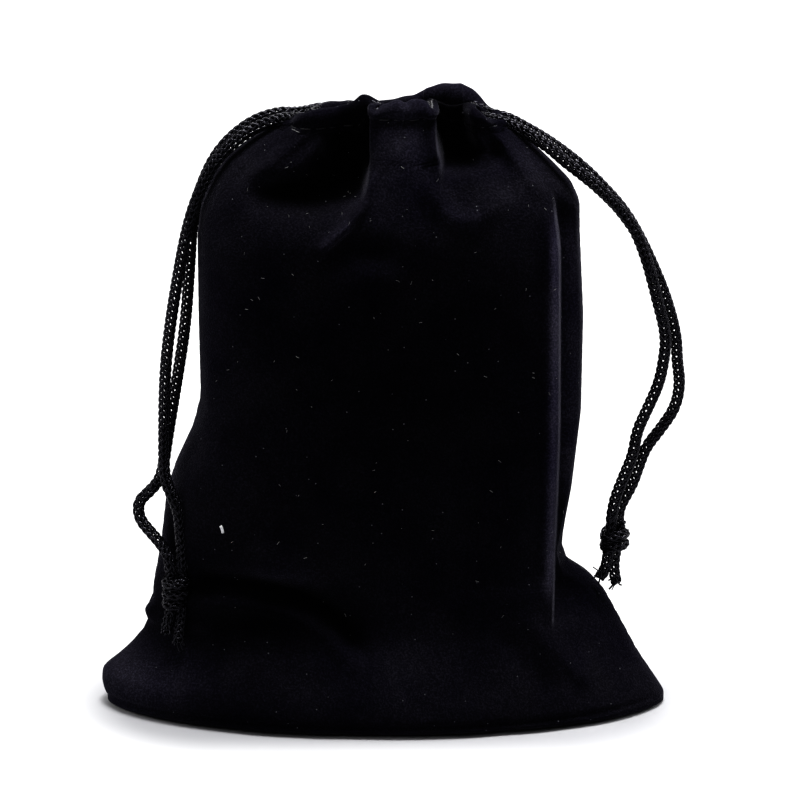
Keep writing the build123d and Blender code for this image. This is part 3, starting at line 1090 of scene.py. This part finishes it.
def seam_thread(name, line, outward, length, node, arch):
    """Stitches along a line of points in metres, with the cloth's outward direction at each point."""
    along = np.concatenate(([0], np.cumsum(np.linalg.norm(np.diff(line, axis=0), axis=1))))
    begins = np.arange(STITCH_PITCH / 2, along[-1] - length, STITCH_PITCH)
    starts, ends = points_at(begins, along, line), points_at(begins + length, along, line)
    facing = points_at(begins + length / 2, along, outward)
    facing /= np.linalg.norm(facing, axis=1)[:, None]
    tubes = [(stitch(*ways, arch), THREAD_RADIUS) for ways in zip(starts, ends, facing)]
    piece = join_tubes(name, tubes, thread)
    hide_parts(node)
    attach(piece, "bag")


def add_seams():
    for face, way in (("front", -1.0), ("back", 1.0)):
        line = panel_grids[face][-1][14:-14] * MM
        out = np.tile((0.0, way, 0.0), (len(line), 1))
        seam_thread(f"{face}_hem_thread", line, out, 2.0 * MM, f"{face}_hem_stitching", 0.10)
    wall = panel_grids["front"][FLOOR_ROWS + ROLL_ROWS:] * MM
    for side, column, way in (("left", 0, -1.0), ("right", -1, 1.0)):
        line = wall[8:-6, column]
        out = np.tile((way, 0.0, 0.0), (len(line), 1))
        seam_thread(f"{side}_seam_thread", line, out, 1.9 * MM, f"{side}_side_seam", 0.0)
    line = panel_grids["front"][0][6:-6] * MM
    out = np.tile((0.0, 0.0, -1.0), (len(line), 1))
    seam_thread("bottom_seam_thread", line, out, 1.9 * MM, "bottom_seam", 0.05)


add_seams()


# ---- Lint on the velvet ----
LINT_PROUD = 0.12  # how far in front of the cloth's face the fibres' middles lie
FIBRES = 90


def on_front(x, seen):
    """The place on the front's cloth, in millimetres, at x and at this height as the camera sees it."""
    points = panel_grids["front"].reshape(-1, 3)
    gap = np.hypot(points[:, 0] - x, points[:, 2] + SLOPE * points[:, 1] - seen)
    return points[int(np.argmin(gap))]


def fibre(draw, x, seen, length, radius, heading):
    """One fibre lying on the front in a loose curl, heading up from level by an angle."""
    middle = on_front(x, seen) + (0, -LINT_PROUD, 0)
    bend = draw.uniform(-0.5, 0.5)
    t = np.linspace(-0.5, 0.5, 7)[:, None]
    along = np.array((math.cos(heading), 0, math.sin(heading)))
    across = np.array((-math.sin(heading), 0, math.cos(heading)))
    return (middle + length * (t * along + bend * t * t * across)) * MM, radius * MM


def add_lint():
    draw = np.random.default_rng(77)
    # a pale fleck and a stray hair stand out from the rest
    fleck = [fibre(draw, -32, 37.2, 1.5, 0.30, 1.85)]
    tubes = [fibre(draw, -16.5, 118.4, 2.6, 0.06, 2.7)]
    for _ in range(FIBRES):
        x = draw.uniform(-34, 36)
        seen = 8 + 112 * draw.uniform(0, 1) ** 0.6
        length, radius = draw.uniform(0.15, 0.8), draw.uniform(0.025, 0.05)
        tubes.append(fibre(draw, x, seen, length, radius, draw.uniform(0, math.pi)))
    for piece in (
        join_tubes("lint", tubes, make_lint("pale_lint", 0.06, 0.42)),
        join_tubes("fleck", fleck, make_lint("fleck_fluff", 0.55, 0.95)),
    ):
        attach(piece, "bag")


add_lint()


# ---- The strands' placement baked into their meshes ----
for (side, face), (piece, points) in tails.items():
    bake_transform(piece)


# ---- Light and floor ----
FLOOR_SIDE = 6.0
FADE_START = 0.020  # from here to FADE_END from the base's middle line the floor turns plain white
FADE_END = 0.040


def add_floor():
    """White paper that fades into the white backdrop, so that no horizon shows."""
    paper = Surface("white_paper")
    paper.fill(paper.shader, Base_Color=(0.42, 0.42, 0.435, 1), Roughness=0.9)
    # the distance to a short line under the pouch, so that the fade follows the base's outline
    place = paper.place
    for operation, other in (("ABSOLUTE", (0, 0, 0)), ("SUBTRACT", (0.034, 0, 0)), ("MAXIMUM", (0, 0, 0))):
        beside = paper.add("ShaderNodeVectorMath", operation)
        beside.inputs[1].default_value = other
        paper.link(place, beside.inputs[0])
        place = beside.outputs["Vector"]
    distance = paper.add("ShaderNodeVectorMath", "LENGTH")
    paper.link(place, distance.inputs[0])
    fade = paper.add("ShaderNodeMapRange", From_Min=FADE_START, From_Max=FADE_END)
    fade.interpolation_type = "SMOOTHSTEP"
    paper.link(distance.outputs["Value"], fade.inputs["Value"])
    # only what the camera sees fades, and the light that the floor throws back doesn't change
    ray = paper.add("ShaderNodeLightPath")
    glow = paper.add("ShaderNodeEmission")
    mix = paper.add("ShaderNodeMixShader")
    seen = paper.maths("MULTIPLY", fade.outputs["Result"], ray.outputs["Is Camera Ray"])
    paper.link(seen, mix.inputs["Fac"])
    paper.link(paper.shader.outputs["BSDF"], mix.inputs[1])
    paper.link(glow.outputs["Emission"], mix.inputs[2])
    paper.link(mix.outputs["Shader"], paper.tree.nodes["Material Output"].inputs["Surface"])
    h = FLOOR_SIDE / 2
    corners = [(-h, -h, 0), (h, -h, 0), (h, h, 0), (-h, h, 0)]
    floor = new_object("floor", corners, [(0, 1, 2, 3)], paper.material, False)


def add_light(name, place, target, size, power):
    lamp = bpy.data.lights.new(name, "AREA")
    lamp.shape = "RECTANGLE"
    lamp.size, lamp.size_y = size
    lamp.energy = power
    holder = bpy.data.objects.new(name, lamp)
    bpy.context.scene.collection.objects.link(holder)
    holder.location = place
    holder.rotation_euler = (Vector(target) - Vector(place)).to_track_quat("-Z", "Y").to_euler()


add_floor()
add_light("key", (0.10, -0.05, 1.05), (0, 0, 0.05), (0.50, 0.40), 13.6)
add_light("left", (-0.75, 0.05, 0.38), (0, 0, 0.07), (0.25, 0.5), 1.5)
add_light("right", (0.75, 0.10, 0.42), (0, 0, 0.07), (0.25, 0.5), 2.0)
add_light("front", (-0.25, -0.9, 0.75), (0, 0, 0.06), (0.4, 0.3), 1.0)
add_light("back", (0.0, 0.85, 0.70), (0, 0, 0.08), (0.9, 0.35), 3.5)


def add_world():
    """Lights the room dimly, and shows behind the object as plain white."""
    world = bpy.data.worlds.new("studio")
    world.use_nodes = True
    tree = world.node_tree
    room = tree.nodes["Background"]
    room.inputs["Color"].default_value = (1, 1, 1, 1)
    room.inputs["Strength"].default_value = 0.10
    backdrop = tree.nodes.new("ShaderNodeBackground")
    backdrop.inputs["Strength"].default_value = 1.0
    backdrop.inputs["Color"].default_value = (1, 1, 1, 1)
    ray = tree.nodes.new("ShaderNodeLightPath")
    mix = tree.nodes.new("ShaderNodeMixShader")
    tree.links.new(ray.outputs["Is Camera Ray"], mix.inputs["Fac"])
    tree.links.new(room.outputs["Background"], mix.inputs[1])
    tree.links.new(backdrop.outputs["Background"], mix.inputs[2])
    tree.links.new(mix.outputs["Shader"], tree.nodes["World Output"].inputs["Surface"])
    bpy.context.scene.world = world


add_world()
bpy.context.scene.view_settings.view_transform = "Standard"
bpy.context.scene.view_settings.look = "High Contrast"
